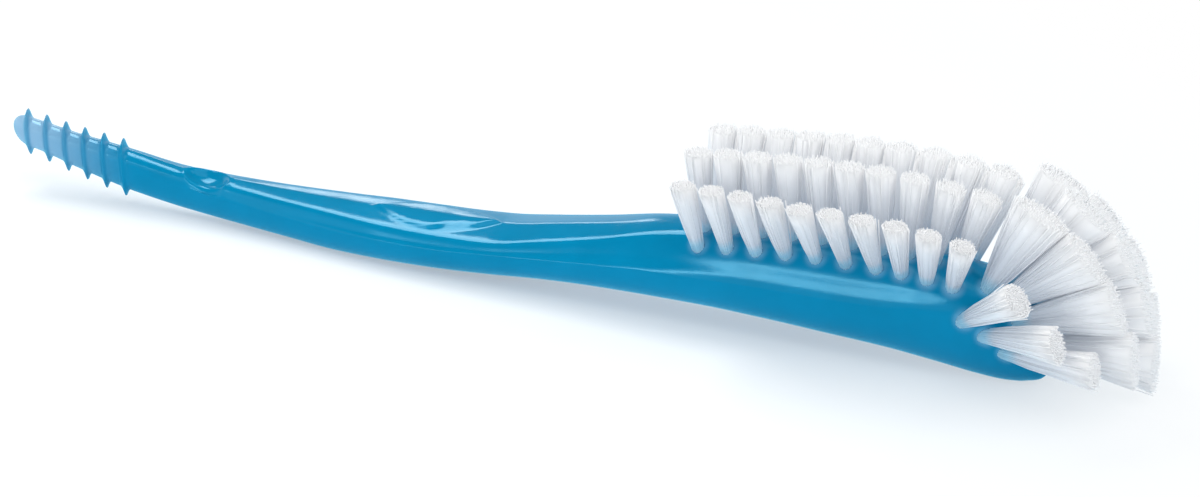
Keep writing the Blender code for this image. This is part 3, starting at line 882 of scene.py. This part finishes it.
def bristle_material(settings):
    """White nylon, each filament with its own tone: painted blue light from the handle at the
    roots, and painted bluish grey shade above them that fades towards the tips. A faint glow stands
    for the light that the filaments pass on."""
    material, tree, shader = new_material("white_nylon_bristle")
    place = tree.nodes.new("ShaderNodeTexCoord")
    split = tree.nodes.new("ShaderNodeSeparateXYZ")
    tree.links.new(place.outputs["UV"], split.inputs["Vector"])
    # Painted blue light from the handle near the roots
    rise = add_node(
        tree, "ShaderNodeMapRange", interpolation_type="SMOOTHSTEP",
        From_Min=ROOT_LIGHT_BLEND[0], From_Max=ROOT_LIGHT_BLEND[1])
    tree.links.new(split.outputs["Y"], rise.inputs["Value"])
    # Painted shade on the lower part of the filaments, fading towards the tips
    shade_fade = add_node(
        tree, "ShaderNodeMapRange", From_Min=SHADE_FADE_BLEND[0], From_Max=SHADE_FADE_BLEND[1])
    tree.links.new(split.outputs["Y"], shade_fade.inputs["Value"])
    upper = mix_colours(tree, shade_fade.outputs["Result"], settings.shaded_lower_colour, settings.colour)
    colour = mix_colours(tree, rise.outputs["Result"], settings.root_colour, upper)
    tone = add_node(tree, "ShaderNodeMapRange", To_Min=DARKEST_TONE)
    tree.links.new(split.outputs["X"], tone.inputs["Value"])
    scaled = tree.nodes.new("ShaderNodeVectorMath")
    scaled.operation = "SCALE"
    tree.links.new(colour, scaled.inputs[0])
    tree.links.new(tone.outputs["Result"], scaled.inputs["Scale"])
    tree.links.new(scaled.outputs["Vector"], shader.inputs["Base Color"])
    rough = add_mottle(tree, place.outputs["Object"], *NYLON_ROUGHNESS)
    tree.links.new(rough, shader.inputs["Roughness"])
    tree.links.new(scaled.outputs["Vector"], shader.inputs["Emission Color"])
    shader.inputs["Emission Strength"].default_value = NYLON_GLOW
    shader.inputs["Subsurface Weight"].default_value = NYLON_SCATTER
    shader.inputs["Subsurface Radius"].default_value = NYLON_SCATTER_SHARES
    shader.inputs["Subsurface Scale"].default_value = NYLON_SCATTER_REACH
    shader.inputs["Specular IOR Level"].default_value = NYLON_SPECULAR
    return material


def floor_material():
    """Pale floor that takes the brush's shadow, and turns plain white far from the brush, where
    the camera sees it. Near the brush the camera sees a share of bluish glow over it, a painted
    lift and tint of the shadow. In reflections it is a plain pale blue glow, a painted pale blue
    reflection along the handle's lower side."""
    material, tree, shader = new_material("pale_floor")
    output = tree.nodes["Material Output"]
    place = tree.nodes.new("ShaderNodeTexCoord").outputs["Object"]
    shader.inputs["Base Color"].default_value = FLOOR_COLOUR
    shader.inputs["Roughness"].default_value = FLOOR_ROUGHNESS
    shader.inputs["Specular IOR Level"].default_value = 0.0
    away = tree.nodes.new("ShaderNodeVectorMath")
    away.operation = "DISTANCE"
    away.inputs[1].default_value = SHADOW_MIDDLE
    tree.links.new(place, away.inputs[0])
    fade = add_node(
        tree, "ShaderNodeMapRange", interpolation_type="SMOOTHSTEP",
        From_Min=SHADOW_FADE[0], From_Max=SHADOW_FADE[1], To_Min=SHADOW_GLOW_SHARE)
    tree.links.new(away.outputs["Value"], fade.inputs["Value"])
    seen = tree.nodes.new("ShaderNodeLightPath")
    direct = tree.nodes.new("ShaderNodeMath")
    direct.operation = "MULTIPLY"
    tree.links.new(seen.outputs["Is Camera Ray"], direct.inputs[0])
    tree.links.new(fade.outputs["Result"], direct.inputs[1])
    share = tree.nodes.new("ShaderNodeMath")
    share.operation = "MAXIMUM"
    tree.links.new(direct.outputs[0], share.inputs[0])
    tree.links.new(seen.outputs["Is Glossy Ray"], share.inputs[1])
    # Glow painted bluish over the shadow near the brush, white far away, and pale blue for glossy
    # rays
    white = tree.nodes.new("ShaderNodeEmission")
    tint = mix_colours(tree, fade.outputs["Result"], PAINTED_SHADOW_TINT, WHITE)
    glow = mix_colours(tree, seen.outputs["Is Glossy Ray"], tint, PAINTED_REFLECTION_GLOW)
    tree.links.new(glow, white.inputs["Color"])
    mix = tree.nodes.new("ShaderNodeMixShader")
    tree.links.new(share.outputs[0], mix.inputs[0])
    tree.links.new(shader.outputs[0], mix.inputs[1])
    tree.links.new(white.outputs[0], mix.inputs[2])
    tree.links.new(mix.outputs[0], output.inputs["Surface"])
    return material


def studio_world(settings):
    """White backdrop low round the horizon, and a dimmer ceiling over it, which reflections see
    as darker still and as beginning lower down."""
    world = bpy.data.worlds.new("studio")
    world.use_nodes = True
    bpy.context.scene.world = world
    tree = world.node_tree
    background = tree.nodes["Background"]
    direction = tree.nodes.new("ShaderNodeTexCoord").outputs["Generated"]
    split = tree.nodes.new("ShaderNodeSeparateXYZ")
    tree.links.new(direction, split.inputs["Vector"])
    rise = add_node(
        tree, "ShaderNodeMapRange", interpolation_type="SMOOTHSTEP",
        From_Min=BACKDROP_END, To_Min=1.0)
    tree.links.new(split.outputs["Z"], rise.inputs["Value"])
    seen = tree.nodes.new("ShaderNodeLightPath")
    ceiling = add_node(
        tree, "ShaderNodeMapRange", To_Min=settings.sky_level, To_Max=settings.sky_reflection)
    edge = add_node(
        tree, "ShaderNodeMapRange", To_Min=CEILING_START, To_Max=CEILING_START_REFLECTED)
    for narrower, socket in ((ceiling, "To Max"), (edge, "From Max")):
        tree.links.new(seen.outputs["Is Glossy Ray"], narrower.inputs["Value"])
        tree.links.new(narrower.outputs["Result"], rise.inputs[socket])
    background.inputs["Color"].default_value = SKY_COLOUR
    tree.links.new(rise.outputs["Result"], background.inputs["Strength"])


def direction_from(azimuth, elevation):
    """Unit vector from the brush to a place round it. Azimuth 0 is in front of the near side, and
    it grows towards the brush head."""
    flat = math.cos(elevation)
    return Vector((
        math.sin(azimuth) * flat, -math.cos(azimuth) * flat, math.sin(elevation)))


def add_area_light(name, radiance, azimuth, elevation, distance, width, height):
    """A rectangular light that faces the brush from the given azimuth and elevation, in degrees.
    Its power is its radiance times its area times pi."""
    outwards = direction_from(math.radians(azimuth), math.radians(elevation))
    data = bpy.data.lights.new(name, "AREA")
    data.shape = "RECTANGLE"
    data.size = width
    data.size_y = height
    data.energy = radiance * width * height * math.pi
    data.color = LAMP_COLOUR
    light = bpy.data.objects.new(name, data)
    light.location = outwards * distance
    light.rotation_euler = outwards.to_track_quat("Z", "Y").to_euler()
    light.visible_camera = False
    bpy.context.scene.collection.objects.link(light)


def add_camera(settings):
    """The camera at the photo's viewing angle, looking at what lies in the middle of the photo."""
    data = bpy.data.cameras.new("photo_camera")
    data.sensor_fit = "HORIZONTAL"
    data.sensor_width = SENSOR_WIDTH
    data.lens = settings.focal_length
    data.clip_start = CLIP_START
    data.clip_end = CLIP_END
    camera = bpy.data.objects.new("photo_camera", data)
    back = direction_from(VIEW_AZIMUTH, VIEW_ELEVATION)
    camera.location = VIEW_TARGET + back * VIEW_DISTANCE
    camera.rotation_euler = back.to_track_quat("Z", "Y").to_euler()
    bpy.context.scene.collection.objects.link(camera)
    bpy.context.scene.camera = camera


class BRUSH_OT_handle(bpy.types.Operator):
    """Builds the moulded handle with its ribs, scoop, pad and dimpled head"""

    bl_idname = "bottle_brush.handle"
    bl_label = "Moulded Handle"

    def execute(self, context):
        settings = context.scene.bottle_brush_handle
        grid = handle_grid(settings)
        points, glow = sink_dimples(grid.reshape(-1, 3), settings.dimple_depth)
        swell = np.repeat(rib_swell(ring_places())[:, 0], HANDLE_POINTS)
        # The rounded ends draw the first and the last ring together, so one point of each is kept
        kept = slice(HANDLE_POINTS - 1, 1 - HANDLE_POINTS)
        points = points[kept]
        piece = add_piece(
            "moulded_handle", points.tolist(), handle_faces(len(points)),
            handle_material(settings))
        add_values(piece.data, "root_glow", glow[kept])
        add_values(piece.data, "rib_swell", swell[kept])
        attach(piece, BODY)
        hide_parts("handle")
        return {"FINISHED"}


def build_tufts(context, fan):
    """The bristles of the fan's tufts or of the rows' tufts, one piece for each tuft."""
    settings = context.scene.bottle_brush_bristles
    material = bpy.data.materials.get("white_nylon_bristle") or bristle_material(settings)
    for name in tuft_names():
        if name.startswith("tuft_fan") == fan:
            piece = tuft_mesh(name, material, settings)
            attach(piece, BODY)
            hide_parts(name)


class BRUSH_OT_row_bristles(bpy.types.Operator):
    """Builds the bristles of the four rows of tufts on the head"""

    bl_idname = "bottle_brush.row_bristles"
    bl_label = "Row Bristles"

    def execute(self, context):
        build_tufts(context, fan=False)
        return {"FINISHED"}


class BRUSH_OT_fan_bristles(bpy.types.Operator):
    """Builds the bristles of the fan of tufts round the end of the head"""

    bl_idname = "bottle_brush.fan_bristles"
    bl_label = "Fan Bristles"

    def execute(self, context):
        build_tufts(context, fan=True)
        return {"FINISHED"}


class BRUSH_OT_studio(bpy.types.Operator):
    """Builds the floor, the lights, the world and the camera"""

    bl_idname = "bottle_brush.studio"
    bl_label = "Studio"

    def execute(self, context):
        settings = context.scene.bottle_brush_studio
        side = settings.floor_size / 2
        corners = [(-side, -side, 0.0), (side, -side, 0.0), (side, side, 0.0), (-side, side, 0.0)]
        floor = add_piece("floor", corners, [(0, 1, 2, 3)], floor_material())
        studio_world(settings)
        for name, power, *placing in LIGHTS:
            add_area_light(name, getattr(settings, power), *placing)
        add_camera(settings)
        context.scene.view_settings.view_transform = "Standard"
        return {"FINISHED"}


class BRUSH_PT_panel(bpy.types.Panel):
    """Shows the brush's operators and their settings in the sidebar"""

    bl_idname = "BRUSH_PT_panel"
    bl_label = "Bottle Brush"
    bl_space_type = "VIEW_3D"
    bl_region_type = "UI"
    bl_category = "Bottle Brush"

    def draw(self, context):
        for operator in OPERATORS:
            self.layout.operator(operator.bl_idname)
        for name in SETTINGS:
            group = getattr(context.scene, name)
            box = self.layout.box()
            for setting in group.__annotations__:
                box.prop(group, setting)


OPERATORS = (BRUSH_OT_handle, BRUSH_OT_row_bristles, BRUSH_OT_fan_bristles, BRUSH_OT_studio)
SETTINGS = {
    "bottle_brush_handle": HandleSettings,
    "bottle_brush_bristles": BristleSettings,
    "bottle_brush_studio": StudioSettings,
}


def register():
    """Registers the settings, the operators and the panel, and gives each scene its settings."""
    for group in SETTINGS.values():
        bpy.utils.register_class(group)
    for operator in OPERATORS:
        bpy.utils.register_class(operator)
    bpy.utils.register_class(BRUSH_PT_panel)
    for name, group in SETTINGS.items():
        setattr(bpy.types.Scene, name, PointerProperty(type=group))


def unregister():
    """Takes back what register did, in the opposite order."""
    for name in SETTINGS:
        delattr(bpy.types.Scene, name)
    bpy.utils.unregister_class(BRUSH_PT_panel)
    for operator in reversed(OPERATORS):
        bpy.utils.unregister_class(operator)
    for group in reversed(SETTINGS.values()):
        bpy.utils.unregister_class(group)


def main():
    """Builds every piece."""
    register()
    bpy.ops.bottle_brush.handle()
    bpy.ops.bottle_brush.row_bristles()
    bpy.ops.bottle_brush.fan_bristles()
    bpy.ops.bottle_brush.studio()


if __name__ == "__main__":
    main()
